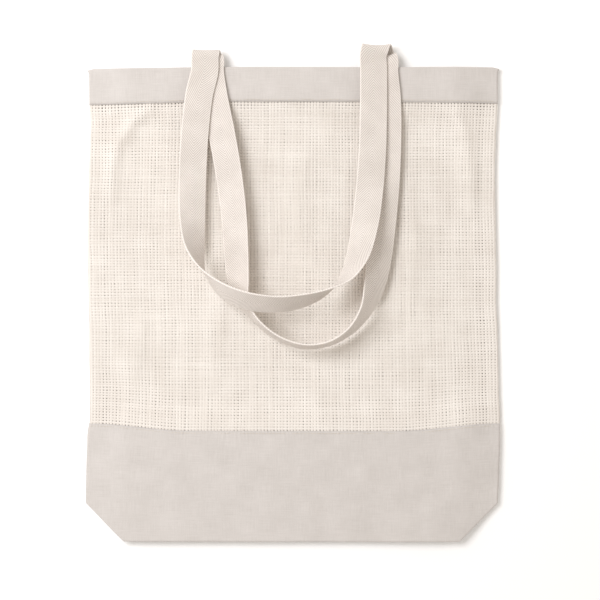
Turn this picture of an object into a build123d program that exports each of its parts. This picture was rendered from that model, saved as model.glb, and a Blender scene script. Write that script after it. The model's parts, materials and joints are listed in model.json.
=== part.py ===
"""A mesh produce bag lying flat with its front up, its mouth towards +Y and both handles folded over the front.

Millimetres. +X is to the right of the front, +Y towards the mouth and +Z away from the surface it lies on.
The origin is the middle of the bounding box's underside. Each sewn piece is one file in parts/.
"""

import math
import os

from build123d import *

# Driving sizes of the bag as it lies flat.
BODY_WIDTH = 380.0
BODY_HEIGHT = 440.0
BAND_HEIGHT = 32.0
BASE_HEIGHT = 106.0
GUSSET_DEPTH = 70.0

# The cloths, and how much the layers stand apart.
CANVAS = 0.7
MESH = 1.0
CAVITY = 6.9
MESH_LAP = 10.0
SIDE_ALLOWANCE = 12.0
SIDE_SEAM_GAP = 1.2

# The handles are cotton tape, sewn inside the band.
TAPE_WIDTH = 25.4
TAPE_THICKNESS = 1.4
HANDLE_SPACING = 160.0
TAB_LENGTH = 28.0
TAB_ABOVE_MOUTH = 2.0

# Both handles turn about one line, a little above the mouth.
HINGE_ABOVE_MOUTH = 9.0
REAR_FOLD_RADIUS = 5.5
FRONT_FOLD_RADIUS = 2.2
FRONT_FOLD_SETBACK = 3.0
FOLD_STEPS = 6

# Sewing thread.
THREAD_WIDTH = 0.6
THREAD_DEPTH = 0.35
TOPSTITCH_INSET = 2.5
OVERLOCK_WIDTH = 0.8
OVERLOCK_HEIGHT = 1.0
BOX_STITCH_INSET = 3.0
GUSSET_SEAM_WIDTH = 8.0
GUSSET_SEAM_THICKNESS = 1.2

# Heights of the layers, from the surface up.
REAR_MESH_Z = CANVAS
REAR_INNER_Z = REAR_MESH_Z + MESH
FRONT_MESH_Z = REAR_INNER_Z + CAVITY
FRONT_INNER_Z = FRONT_MESH_Z - CANVAS
FRONT_OUTER_Z = FRONT_MESH_Z + MESH
FRONT_TOP_Z = FRONT_OUTER_Z + CANVAS
REAR_BAND_TOP_Z = REAR_INNER_Z + CANVAS
EDGE_DROP = FRONT_INNER_Z - REAR_BAND_TOP_Z - SIDE_SEAM_GAP

# Places along Y. The length runs from the base's fold to the top of the rear handle's fold.
FOLD_TOP = HINGE_ABOVE_MOUTH + REAR_FOLD_RADIUS + TAPE_THICKNESS / 2
OVERALL_LENGTH = BODY_HEIGHT + FOLD_TOP
BASE_Y = -OVERALL_LENGTH / 2
MOUTH_Y = BASE_Y + BODY_HEIGHT
BAND_LOW_Y = MOUTH_Y - BAND_HEIGHT
BASE_TOP_Y = BASE_Y + BASE_HEIGHT
GUSSET_FOLD = GUSSET_DEPTH / 2
CORNER_Y = BASE_Y + GUSSET_FOLD

HALF_WIDTH = BODY_WIDTH / 2
FLAT_HALF_WIDTH = HALF_WIDTH - GUSSET_FOLD

HINGE_Y = MOUTH_Y + HINGE_ABOVE_MOUTH
HINGE_Z = REAR_BAND_TOP_Z + TAPE_THICKNESS / 2 + REAR_FOLD_RADIUS

# How each handle lies, from its left fold to its right one: sideways from the middle, down from the mouth,
# the room under the tape's lower edge as a share of its width, and its roll in degrees. Rolled positive, the
# loop's inner edge is raised. Rolled past -90, the tape shows its other face.
REAR_HANDLE_ROUTE = [
    (-84.0, 3.0, 0.14, 0.0),
    (-88.0, 26.0, 0.17, -1.0),
    (-91.5, 62.0, 0.17, -3.0),
    (-93.5, 104.0, 0.13, -9.0),
    (-93.6, 138.0, 0.10, -22.0),
    (-91.8, 163.0, 0.09, -43.0),
    (-85.8, 186.0, 0.18, -82.0),
    (-71.5, 203.5, 0.59, -112.0),
    (-46.0, 216.5, 1.08, -127.0),
    (-18.0, 220.5, 0.98, -125.0),
    (8.0, 217.5, 0.79, -117.0),
    (32.0, 208.5, 0.59, -97.0),
    (48.0, 195.5, 0.49, -66.0),
    (58.0, 177.0, 0.47, -40.0),
    (64.3, 152.0, 0.43, -20.0),
    (69.5, 115.0, 0.34, -8.0),
    (72.8, 72.0, 0.23, -3.0),
    (74.3, 30.0, 0.16, -1.0),
    (75.4, 3.0, 0.14, 0.0),
]
FRONT_HANDLE_ROUTE = [
    (-77.4, 4.0, 0.045, 0.0),
    (-74.0, 28.0, 0.045, 4.0),
    (-66.5, 64.0, 0.045, 12.0),
    (-59.5, 104.0, 0.045, 17.0),
    (-54.8, 144.0, 0.045, 22.0),
    (-52.8, 178.0, 0.045, 28.0),
    (-50.4, 203.0, 0.045, 42.0),
    (-46.4, 217.0, 0.045, 63.0),
    (-39.6, 229.5, 0.045, 76.0),
    (-28.0, 242.0, 0.045, 80.0),
    (-11.0, 253.5, 0.045, 80.0),
    (11.0, 259.5, 0.045, 80.0),
    (34.0, 256.0, 0.045, 80.0),
    (53.5, 243.5, 0.045, 74.0),
    (66.0, 226.5, 0.045, 62.0),
    (73.6, 205.0, 0.045, 40.0),
    (78.0, 180.0, 0.045, 22.0),
    (81.5, 148.0, 0.045, 11.0),
    (85.0, 108.0, 0.045, 5.0),
    (86.6, 66.0, 0.045, 2.0),
    (86.0, 28.0, 0.045, 0.0),
    (83.6, 4.0, 0.045, 0.0),
]

SIDES = {"left": -1, "right": 1}


def flat_layer(z_low, thickness, y_low, y_high, half_width=HALF_WIDTH):
    """A flat ply, the full width of the bag unless half_width says less."""
    corner = (-half_width, y_low, z_low)
    return Pos(*corner) * Box(2 * half_width, y_high - y_low, thickness, align=(Align.MIN,) * 3)


def front_layer(z_low, thickness, y_low, y_high):
    """A ply of the front, flat in the middle and falling towards the side seams."""
    outline = [
        (-HALF_WIDTH, z_low - EDGE_DROP),
        (-FLAT_HALF_WIDTH, z_low),
        (FLAT_HALF_WIDTH, z_low),
        (HALF_WIDTH, z_low - EDGE_DROP),
        (HALF_WIDTH, z_low - EDGE_DROP + thickness),
        (FLAT_HALF_WIDTH, z_low + thickness),
        (-FLAT_HALF_WIDTH, z_low + thickness),
        (-HALF_WIDTH, z_low - EDGE_DROP + thickness),
    ]
    face = make_face(Polyline([(x, y_low, z) for x, z in outline], close=True))
    return extrude(face, amount=y_high - y_low, dir=(0, 1, 0))


def along_x(outline, x_low, x_high):
    """A prism along X from an outline of (y, z) points."""
    face = make_face(Polyline([(x_low, y, z) for y, z in outline], close=True))
    return extrude(face, amount=x_high - x_low, dir=(1, 0, 0))


def upright(outline):
    """A prism along Z, taller than the bag, from an outline of (x, y) points."""
    face = make_face(Polyline([(x, y, -FRONT_TOP_Z) for x, y in outline], close=True))
    return extrude(face, amount=3 * FRONT_TOP_Z, dir=(0, 0, 1))


def corner_waste(side):
    """What the folded-in corner takes off the outline, a little larger outside the bag."""
    reach = GUSSET_FOLD
    return upright(
        [
            (side * (HALF_WIDTH + reach), CORNER_Y + reach),
            (side * (FLAT_HALF_WIDTH - reach), BASE_Y - reach),
            (side * (HALF_WIDTH + reach), BASE_Y - reach),
        ]
    )


def corner_tuck(side):
    """The triangle of cloth that the corner's fold turns inside."""
    return upright(
        [
            (side * HALF_WIDTH, CORNER_Y),
            (side * FLAT_HALF_WIDTH, BASE_Y),
            (side * FLAT_HALF_WIDTH, CORNER_Y),
        ]
    )


def gusset_fold(outset):
    """The base folded inwards as a wedge open downwards, outset from the cloth's outer face."""
    middle = FRONT_TOP_Z / 2
    half = middle - CANVAS + outset
    reach = GUSSET_FOLD * half / middle
    return [(BASE_Y, middle + half), (BASE_Y, middle - half), (BASE_Y + reach, middle)]


def base_canvas():
    """One cloth: up the front, folded inwards at the base and up the rear, with its corners tucked in."""
    front = front_layer(FRONT_OUTER_Z, CANVAS, BASE_Y, BASE_TOP_Y)
    rear = flat_layer(0, CANVAS, BASE_Y, BASE_TOP_Y)
    front_tuck = front_layer(FRONT_OUTER_Z - CANVAS, CANVAS, BASE_Y, CORNER_Y)
    rear_tuck = flat_layer(CANVAS, CANVAS, BASE_Y, CORNER_Y)
    gusset = along_x(gusset_fold(CANVAS), -FLAT_HALF_WIDTH, FLAT_HALF_WIDTH)
    gusset -= along_x(gusset_fold(0), -HALF_WIDTH, HALF_WIDTH)
    cloth = front + rear
    for side in SIDES.values():
        cloth -= corner_waste(side)
        tuck = corner_tuck(side)
        cloth = cloth + (front_tuck & tuck) + (rear_tuck & tuck)
    return cloth + gusset


def band(outer_z, inner_z, layer):
    """A canvas strip folded over the mesh's edge: an outer ply, an inner ply and the fold at the mouth."""
    low, high = min(outer_z, inner_z), max(outer_z, inner_z) + CANVAS
    plies = layer(outer_z, CANVAS, BAND_LOW_Y, MOUTH_Y) + layer(inner_z, CANVAS, BAND_LOW_Y, MOUTH_Y)
    return plies + layer(low, high - low, MOUTH_Y - CANVAS, MOUTH_Y)


def topstitch(z_low, y_low, layer):
    """A row of stitching across the bag, sunk into the cloth it holds."""
    return layer(z_low, THREAD_DEPTH, y_low, y_low + THREAD_WIDTH)


def side_seam(side):
    """The front's and rear's edges, turned in together, which close the side."""

    def bundle(rear_z, front_z, y_low, y_high):
        inner = SIDE_ALLOWANCE / GUSSET_FOLD * EDGE_DROP
        outline = [
            (HALF_WIDTH - SIDE_ALLOWANCE, rear_z),
            (HALF_WIDTH, rear_z),
            (HALF_WIDTH, front_z - EDGE_DROP),
            (HALF_WIDTH - SIDE_ALLOWANCE, front_z - EDGE_DROP + inner),
        ]
        face = make_face(Polyline([(side * x, y_low, z) for x, z in outline], close=True))
        return extrude(face, amount=y_high - y_low, dir=(0, 1, 0))

    lap_y = BASE_TOP_Y - MESH_LAP
    in_base = bundle(CANVAS, FRONT_OUTER_Z, CORNER_Y, lap_y)
    in_mesh = bundle(REAR_INNER_Z, FRONT_MESH_Z, lap_y, BAND_LOW_Y)
    in_band = bundle(REAR_BAND_TOP_Z, FRONT_INNER_Z, BAND_LOW_Y, MOUTH_Y)
    return in_base + in_mesh + in_band


def side_overlock(side):
    """The overlock thread along the raw edge of a side seam."""
    x = side * (HALF_WIDTH - SIDE_ALLOWANCE - OVERLOCK_WIDTH / 2)
    place = Pos(x, CORNER_Y, REAR_BAND_TOP_Z)
    return place * Box(
        OVERLOCK_WIDTH, MOUTH_Y - CORNER_Y, OVERLOCK_HEIGHT, align=(Align.CENTER, Align.MIN, Align.MIN)
    )


def gusset_seam(side):
    """The turned-in edge where the folded base meets the corner tucks."""
    low, high = sorted((side * FLAT_HALF_WIDTH, side * (FLAT_HALF_WIDTH - GUSSET_SEAM_WIDTH)))
    strip = along_x(gusset_fold(CANVAS + GUSSET_SEAM_THICKNESS), low, high)
    strip -= along_x(gusset_fold(CANVAS), -HALF_WIDTH, HALF_WIDTH)
    inside = flat_layer(CANVAS, FRONT_OUTER_Z - CANVAS, BASE_Y, BASE_TOP_Y)
    return strip & inside


def handle_tab(side, z_low):
    """The end of a handle, sewn flat inside the band."""
    length = TAB_LENGTH + TAB_ABOVE_MOUTH
    place = Pos(side * HANDLE_SPACING / 2, MOUTH_Y - TAB_LENGTH, z_low)
    return place * Box(TAPE_WIDTH, length, TAPE_THICKNESS, align=(Align.CENTER, Align.MIN, Align.MIN))


def box_stitch(side, z_low):
    """A square of stitching with a cross in it, on the tab's inner face."""
    width = TAPE_WIDTH - 2 * BOX_STITCH_INSET
    height = TAB_LENGTH - 2 * BOX_STITCH_INSET
    diagonal = math.hypot(width, height) - THREAD_WIDTH
    outline = Rectangle(width, height) - Rectangle(width - 2 * THREAD_WIDTH, height - 2 * THREAD_WIDTH)
    for lean in (1, -1):
        angle = math.degrees(math.atan2(height, width)) * lean
        outline += Rot(0, 0, angle) * Rectangle(diagonal, THREAD_WIDTH)
    place = Pos(side * HANDLE_SPACING / 2, MOUTH_Y - TAB_LENGTH / 2, z_low)
    return place * extrude(outline, amount=THREAD_DEPTH)


def fold_stations(x_tab, x_leg, centre_y, centre_z, radius, across):
    """Frames round the half turn that brings a handle from its tab to the front of the bag."""
    stations = []
    for step in range(FOLD_STEPS + 1):
        angle = math.radians(-90 + 180 * step / FOLD_STEPS)
        x = x_tab + (x_leg - x_tab) * step / FOLD_STEPS
        centre = Vector(x, centre_y + radius * math.cos(angle), centre_z + radius * math.sin(angle))
        heading = Vector(0, -math.sin(angle), math.cos(angle))
        stations.append((centre, across, heading))
    return stations


def leg_stations(route):
    """Frames down one leg, across the bottom of the loop and up the other leg."""
    centres = []
    for x, down, room, roll in route:
        angle = math.radians(roll)
        half_drop = (TAPE_WIDTH * abs(math.sin(angle)) + TAPE_THICKNESS * abs(math.cos(angle))) / 2
        centres.append(Vector(x, MOUTH_Y - down, FRONT_TOP_Z + room * TAPE_WIDTH + half_drop))
    stations = []
    for i, (_, _, _, roll) in enumerate(route):
        before, after = centres[max(i - 1, 0)], centres[min(i + 1, len(route) - 1)]
        heading = (after - before).normalized()
        to_left = Vector(-heading.Y, heading.X, 0).normalized()
        lift = heading.cross(to_left)
        angle = math.radians(roll)
        across = to_left * math.cos(angle) + lift * math.sin(angle)
        stations.append((centres[i], across, heading))
    return stations


def handle_loop(route, fold_y, fold_z, radius):
    """The free part of a handle, from one fold to the other, as one length of tape."""
    left_x, right_x = route[0][0], route[-1][0]
    tab_x = HANDLE_SPACING / 2
    down = fold_stations(-tab_x, left_x, fold_y, fold_z, radius, Vector(1, 0, 0))
    up = fold_stations(tab_x, right_x, fold_y, fold_z, radius, Vector(-1, 0, 0))
    up = [(centre, across, heading * -1) for centre, across, heading in reversed(up)]
    sections = []
    for centre, across, heading in down + leg_stations(route) + up:
        plane = Plane(origin=centre, x_dir=across, z_dir=heading)
        sections.append(plane * Rectangle(TAPE_WIDTH, TAPE_THICKNESS))
    return loft(sections, ruled=True)


def all_nodes():
    base_stitch_y = BASE_TOP_Y - TOPSTITCH_INSET
    band_stitch_y = BAND_LOW_Y + TOPSTITCH_INSET - THREAD_WIDTH
    sunk_z = FRONT_TOP_Z - THREAD_DEPTH
    nodes = {
        "band_stitching_front": topstitch(sunk_z, band_stitch_y, front_layer),
        "band_stitching_rear": topstitch(0, band_stitch_y, flat_layer),
        "base_stitching_front": topstitch(sunk_z, base_stitch_y, front_layer),
        "base_stitching_rear": topstitch(0, base_stitch_y, flat_layer),
    }
    base_threads = nodes["base_stitching_front"] + nodes["base_stitching_rear"]
    nodes["base_canvas"] = base_canvas() - base_threads
    front_band = band(FRONT_OUTER_Z, FRONT_INNER_Z, front_layer)
    nodes["top_band_front"] = front_band - nodes["band_stitching_front"]
    nodes["top_band_rear"] = band(0, REAR_INNER_Z, flat_layer) - nodes["band_stitching_rear"]
    mesh_span = (BASE_TOP_Y - MESH_LAP, BAND_LOW_Y + MESH_LAP)
    nodes["mesh_panel_front"] = front_layer(FRONT_MESH_Z, MESH, *mesh_span)
    nodes["mesh_panel_rear"] = flat_layer(REAR_MESH_Z, MESH, *mesh_span)
    tab_levels = {"front": FRONT_INNER_Z - TAPE_THICKNESS, "rear": REAR_BAND_TOP_Z}
    stitch_levels = {
        "front": tab_levels["front"] - THREAD_DEPTH,
        "rear": tab_levels["rear"] + TAPE_THICKNESS,
    }
    for name, side in SIDES.items():
        nodes[f"side_seam_{name}"] = side_seam(side)
        nodes[f"side_overlock_{name}"] = side_overlock(side)
        nodes[f"gusset_seam_{name}"] = gusset_seam(side)
        for face in ("front", "rear"):
            nodes[f"handle_tab_{face}_{name}"] = handle_tab(side, tab_levels[face])
            nodes[f"handle_stitching_{face}_{name}"] = box_stitch(side, stitch_levels[face])
    nodes["handle_rear_loop"] = handle_loop(REAR_HANDLE_ROUTE, HINGE_Y, HINGE_Z, REAR_FOLD_RADIUS)
    front_fold_z = tab_levels["front"] + TAPE_THICKNESS / 2 + FRONT_FOLD_RADIUS
    front_fold_y = HINGE_Y - FRONT_FOLD_SETBACK
    nodes["handle_front_loop"] = handle_loop(
        FRONT_HANDLE_ROUTE, front_fold_y, front_fold_z, FRONT_FOLD_RADIUS
    )
    return nodes


os.makedirs("parts", exist_ok=True)
for node_name, solid in all_nodes().items():
    export_step(solid, f"parts/{node_name}.step")
    print(f"{node_name}: {solid.volume:.1f} mm3")
print(f"hinge at y {HINGE_Y:.3f}, z {HINGE_Z:.3f}; mouth at y {MOUTH_Y:.3f}; base at y {BASE_Y:.3f}")
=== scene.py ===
import json
import math
import random

import bmesh
import bpy
from mathutils import Matrix, Vector, noise


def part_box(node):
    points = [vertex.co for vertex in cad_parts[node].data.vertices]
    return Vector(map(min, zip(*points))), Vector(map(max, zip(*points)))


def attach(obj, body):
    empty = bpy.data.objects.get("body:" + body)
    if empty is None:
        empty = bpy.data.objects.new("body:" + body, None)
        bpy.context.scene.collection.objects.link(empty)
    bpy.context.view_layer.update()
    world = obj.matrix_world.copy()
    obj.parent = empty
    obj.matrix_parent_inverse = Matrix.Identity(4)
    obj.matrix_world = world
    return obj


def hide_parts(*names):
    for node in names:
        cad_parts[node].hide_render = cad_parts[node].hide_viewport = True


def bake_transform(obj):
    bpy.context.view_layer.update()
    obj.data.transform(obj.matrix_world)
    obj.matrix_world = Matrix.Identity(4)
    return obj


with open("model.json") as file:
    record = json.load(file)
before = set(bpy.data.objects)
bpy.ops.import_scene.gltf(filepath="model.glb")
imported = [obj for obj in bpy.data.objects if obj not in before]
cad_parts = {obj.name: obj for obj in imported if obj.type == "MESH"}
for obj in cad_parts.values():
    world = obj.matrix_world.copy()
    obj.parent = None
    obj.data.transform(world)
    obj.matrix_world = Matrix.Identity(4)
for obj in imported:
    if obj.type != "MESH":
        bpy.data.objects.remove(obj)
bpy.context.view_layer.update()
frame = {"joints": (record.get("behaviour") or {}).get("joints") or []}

# ---------------------------------------------------------------------------------------------
# The studio: a white table top seen from straight above, one broad lamp beyond the bag's upper
# left corner, and a warm light that the pale room gives back into the shadows.
# ---------------------------------------------------------------------------------------------
CAMERA_HEIGHT = 1.8
FRAME_WIDTH = 0.558
VIEW_CENTRE = Vector((0.0056, -0.0043))
SENSOR = 36.0
LAMP_PLACE = Vector((-0.90, 0.50, 1.48))
LAMP_SIZE = 0.90
LAMP_POWER = 20.5
LAMP_COLOUR = (1.0, 1.01, 1.04)
ROOM_COLOUR = (1.0, 0.94, 0.87, 1.0)
ROOM_STRENGTH = 0.65
TABLE_SIZE = 6.0
TABLE_DARK = (0.975, 0.975, 0.975)
TABLE_LIGHT = (0.985, 0.985, 0.985)
TABLE_GLOW = 0.07

camera_data = bpy.data.cameras.new("camera")
camera_data.sensor_width = SENSOR
camera_data.lens = SENSOR * CAMERA_HEIGHT / FRAME_WIDTH
camera_data.clip_end = 20.0
camera = bpy.data.objects.new("camera", camera_data)
camera.location = (*VIEW_CENTRE, CAMERA_HEIGHT)
bpy.context.scene.collection.objects.link(camera)
bpy.context.scene.camera = camera

lamp_data = bpy.data.lights.new("key_lamp", "AREA")
lamp_data.shape = "SQUARE"
lamp_data.size = LAMP_SIZE
lamp_data.energy = LAMP_POWER
lamp_data.color = LAMP_COLOUR
lamp = bpy.data.objects.new("key_lamp", lamp_data)
lamp.location = LAMP_PLACE
lamp.rotation_euler = (-LAMP_PLACE).to_track_quat("-Z", "Y").to_euler()
bpy.context.scene.collection.objects.link(lamp)

world = bpy.data.worlds.new("studio")
world.use_nodes = True
room_light = world.node_tree.nodes["Background"]
room_light.inputs["Color"].default_value = ROOM_COLOUR
room_light.inputs["Strength"].default_value = ROOM_STRENGTH
bpy.context.scene.world = world
bpy.context.scene.view_settings.view_transform = "Standard"
bpy.context.scene.view_settings.look = "None"


def object_from(bm, name, material, smooth=True):
    """Turns a finished bmesh into a piece of the given material."""
    mesh = bpy.data.meshes.new(name)
    bm.to_mesh(mesh)
    bm.free()
    mesh.polygons.foreach_set("use_smooth", [smooth] * len(mesh.polygons))
    mesh.materials.append(material)
    piece = bpy.data.objects.new(name, mesh)
    bpy.context.scene.collection.objects.link(piece)
    return piece


def plain_material(name, roughness):
    """A new material without shine, its node tree and its shader."""
    material = bpy.data.materials.new(name)
    material.use_nodes = True
    tree = material.node_tree
    shader = tree.nodes["Principled BSDF"]
    shader.inputs["Roughness"].default_value = roughness
    shader.inputs["Specular IOR Level"].default_value = 0.2
    return material, tree, shader


def add(tree, kind, **settings):
    """A node with its settings. A socket of it takes a value, or is fed from another node's socket."""
    node = tree.nodes.new(kind)
    for key, value in settings.items():
        label = key.replace("_", " ")
        if isinstance(value, bpy.types.NodeSocket):
            tree.links.new(value, node.inputs[label])
        elif hasattr(node, key):
            setattr(node, key, value)
        else:
            node.inputs[label].default_value = value
    return node


def shade_between(tree, factor, dark, light, low=0.0, high=1.0):
    """A colour between two, as a value runs from low to high."""
    ramp = add(tree, "ShaderNodeValToRGB", Fac=factor)
    for element, place, colour in zip(ramp.color_ramp.elements, (low, high), (dark, light)):
        element.position = place
        element.color = (*colour, 1)
    return ramp.outputs["Color"]


table_paint, table_tree, table_shader = plain_material("table_top", 0.9)
table_grain = add(table_tree, "ShaderNodeTexNoise", Scale=40.0)
table_colour = shade_between(table_tree, table_grain.outputs["Fac"], TABLE_DARK, TABLE_LIGHT)
table_tree.links.new(table_colour, table_shader.inputs["Base Color"])
table_shader.inputs["Emission Color"].default_value = (1.0, 1.0, 1.0, 1.0)
table_shader.inputs["Emission Strength"].default_value = TABLE_GLOW
table_mesh = bmesh.new()
bmesh.ops.create_grid(table_mesh, x_segments=2, y_segments=2, size=TABLE_SIZE / 2)
table = object_from(table_mesh, "table_top", table_paint, smooth=False)

# ---------------------------------------------------------------------------------------------
# The two net panels: open plain weave of thick soft cotton yarns. Each panel's sides turn in and
# are sewn to the other's, so that four layers lie together along both sides.
# ---------------------------------------------------------------------------------------------
MM = 0.001
net_low, net_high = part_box("mesh_panel_front")
rear_low, rear_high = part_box("mesh_panel_rear")
HALF_WIDTH = net_high.x
NET_THICKNESS = rear_high.z - rear_low.z
NET_MIDDLE_Z = net_high.z - NET_THICKNESS / 2
NET_EDGE_Z = net_low.z + NET_THICKNESS / 2
REAR_Z = (rear_low.z + rear_high.z) / 2
MOUTH_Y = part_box("top_band_front")[1].y
BASE_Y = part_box("base_canvas")[0].y
BASE_TOP_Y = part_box("base_canvas")[1].y
BAND_LOW_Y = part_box("top_band_front")[0].y
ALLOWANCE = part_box("side_seam_right")[1].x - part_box("side_seam_right")[0].x
FLAT_WIDTH = 2 * (HALF_WIDTH + ALLOWANCE)
NET_LENGTH = net_high.y - net_low.y
SIDE_FOLD_RADIUS = 0.6 * MM
# How the front lies: its slope down to the seams, its sag between the canvas, and its unevenness.
EDGE_SLOPE = 42 * MM
SAG = 4.8 * MM
SAG_SLOPE = 28 * MM
SWELL = 1.0 * MM
RIPPLE = 0.22 * MM
REAR_LIFT = 0.5 * MM
REAR_RIPPLE = 0.12 * MM
# How the seams and edges lie off square, how far each effect reaches, and where it starts.
CORNER_RADIUS = 5.0 * MM
MOUTH_DROOP = 1.3 * MM
MOUTH_START = 20 * MM
MOUTH_REACH = 180 * MM
CORNER_DROOP = 1.1 * MM
CORNER_START = 50 * MM
CORNER_REACH = 140 * MM
BAND_DROOP = 1.4 * MM
BAND_REACH = 18 * MM
SEAM_DROOP = 3.8 * MM
SEAM_RISE = 2.6 * MM
SEAM_START = 95 * MM
SEAM_SPAN = 90 * MM
SEAM_REACH = 45 * MM
EDGE_WANDER = 0.4 * MM
# The yarns: how many, how thick, how far they weave over and under, and how unevenly they lie.
WARP_YARNS = 132
WEFT_YARNS = 122
WARP_WIDTH = 2.44 * MM
WEFT_WIDTH = 1.92 * MM
YARN_HEIGHT = 0.40 * MM
WARP_WEAVE = 0.07 * MM
WEFT_WEAVE = 0.09 * MM
WEFT_FLATNESS = 0.85
WEFT_LIFT = 0.06 * MM
YARN_WANDER = 0.55 * MM
WEAVE_WANDER = 0.9 * MM
THICK_SPOTS = 0.10
SPOT_SIZE = 4 * MM
NET_DARK = (0.765, 0.71, 0.655)
NET_LIGHT = (0.895, 0.85, 0.80)


def smooth_step(value):
    value = min(max(value, 0.0), 1.0)
    return value * value * (3 - 2 * value)


def bell(distance, reach):
    """1 at the middle of something, and hardly anything past its reach."""
    return math.exp(-((distance / reach) ** 2))


def edge_share(x):
    """0 over the flat middle of the front, 1 at the side seams."""
    return smooth_step((abs(x) - HALF_WIDTH + EDGE_SLOPE) / EDGE_SLOPE)


def cloth_noise(x, y, size_x, size_y, seed):
    """A soft random value from -1 to 1, for patches of about the given size in metres."""
    return noise.noise(Vector((x / size_x, y / size_y, seed)))


def sag(x, y):
    """How far the front net sinks onto the rear one between the band and the base."""
    from_band = smooth_step((BAND_LOW_Y - y) / SAG_SLOPE)
    from_base = smooth_step((y - BASE_TOP_Y) / SAG_SLOPE)
    return SAG * from_band * from_base * (1 - edge_share(x))


# Soft folds that the side seams and the handles draw in the front, in mm: points along the fold,
# half width and height.
SOFT_FOLDS = (
    (((-128, 179), (-150, 163), (-163, 143), (-168, 118), (-168, 85)), 6.5, 3.4),
    (((150, 176), (162, 150), (167, 115), (166, 70)), 6.5, 2.6),
    (((-60, 20), (-72, -30), (-78, -90)), 9.0, 2.0),
    (((105, 120), (112, 50), (104, -20)), 9.0, 2.0),
    (((10, 150), (4, 80), (12, 20)), 10.0, 1.8),
    (((-140, -20), (-150, -70), (-146, -110)), 9.0, 2.0),
)


def fold_height(x, y):
    """The height that the nearest part of each soft fold adds."""
    x, y = x / MM, y / MM
    total = 0.0
    for points, half_width, height in SOFT_FOLDS:
        nearest, place = math.inf, 0.0
        for number in range(len(points) - 1):
            (begin_x, begin_y), (end_x, end_y) = points[number], points[number + 1]
            run_x, run_y = end_x - begin_x, end_y - begin_y
            past_x, past_y = x - begin_x, y - begin_y
            share = (past_x * run_x + past_y * run_y) / (run_x * run_x + run_y * run_y)
            share = min(max(share, 0.0), 1.0)
            gap = math.hypot(past_x - run_x * share, past_y - run_y * share)
            if gap < nearest:
                nearest, place = gap, (number + share) / (len(points) - 1)
        if nearest < 3 * half_width:
            total += height * bell(nearest, half_width) * math.sin(math.pi * place) ** 0.5
    return total * MM


def front_relief(x, y):
    """The soft unevenness of the front as it lies."""
    swell = SWELL * cloth_noise(x, y, 0.060, 0.090, 3.1)
    ripples = RIPPLE * cloth_noise(x, y, 0.012, 0.070, 7.7)
    return (swell + ripples) * (1 - edge_share(x)) + fold_height(x, y)


def front_z(x, y):
    """Height of the front net's middle."""
    share = edge_share(x)
    return NET_MIDDLE_Z * (1 - share) + NET_EDGE_Z * share + front_relief(x, y) - sag(x, y)


def rear_z(x, y):
    """Height of the rear net's middle. It lies on the table, lifted a little where the front sags."""
    lift = REAR_LIFT * sag(x, y) / SAG * (0.5 + cloth_noise(x, y, 0.09, 0.12, 3.9))
    return REAR_Z + REAR_RIPPLE * cloth_noise(x, y, 0.03, 0.05, 11.3) + lift


# How far each side's edge lies from a straight line, in mm to the right: height, left side, right side.
SIDE_LINES = (
    (-228, -3.3, -2.0), (-190, -2.9, -0.9), (-172, -2.7, 0.0), (-135, -1.6, 0.9), (-116, 0.4, 1.0),
    (-88, 0.8, -0.1), (-60, 0.0, -0.6), (-32, 0.2, -1.3), (-4, -0.7, -2.3), (24, -1.0, -2.1),
    (51, -1.5, -2.6), (93, -0.9, -3.2), (121, 0.0, -3.3), (149, 0.7, -2.6), (163, 1.1, -1.8),
    (177, 0.3, -1.1), (212, 0.0, -1.2),
)


def side_shift(x, y):
    """How far the nearer side is moved at a height, as the lines above say."""
    height = min(max(y / MM, SIDE_LINES[0][0]), SIDE_LINES[-1][0])
    for below, above in zip(SIDE_LINES, SIDE_LINES[1:]):
        if height <= above[0]:
            break
    share = smooth_step((height - below[0]) / (above[0] - below[0]))
    column = 1 if x < 0 else 2
    return (below[column] + (above[column] - below[column]) * share) * MM


def settle(x, y):
    """How cloth lies a little off square: the sides wander, and the mouth and the seams droop."""
    side = smooth_step((abs(x) - CORNER_START) / CORNER_REACH)
    near_mouth = smooth_step((y - MOUTH_START) / MOUTH_REACH)
    near_band = bell(y - BAND_LOW_Y, BAND_REACH)
    near_base = bell(y - BASE_TOP_Y, SEAM_REACH)
    seam = SEAM_DROOP - (SEAM_DROOP + SEAM_RISE) * smooth_step((abs(x) - SEAM_START) / SEAM_SPAN)
    past_x, past_y = abs(x) - HALF_WIDTH + CORNER_RADIUS, y - MOUTH_Y + CORNER_RADIUS
    shift = side_shift(x, y) * abs(x) / HALF_WIDTH
    if past_x > 0 and past_y > 0:
        round_off = max(past_x, past_y) / math.hypot(past_x, past_y)
        x += math.copysign(past_x * (round_off - 1), x)
        y += past_y * (round_off - 1)
    low = MOUTH_DROOP * near_mouth + (CORNER_DROOP * side * near_mouth if x < 0 else 0.0)
    low += BAND_DROOP * side * near_band + seam * near_base
    return x + shift, y - low + EDGE_WANDER * cloth_noise(x, y, 0.09, 0.2, 15.5)


def turn_in(across, radius):
    """Where a cloth's edge turns under at the side: its place across, and its drop."""
    beyond = abs(across) - (HALF_WIDTH - radius)
    if beyond <= 0:
        return across, 0.0
    side = math.copysign(1.0, across)
    if beyond < math.pi * radius:
        angle = beyond / radius
        return side * (HALF_WIDTH - radius + radius * math.sin(angle)), radius * (1 - math.cos(angle))
    return side * (HALF_WIDTH - radius - (beyond - math.pi * radius)), 2 * radius


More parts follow.
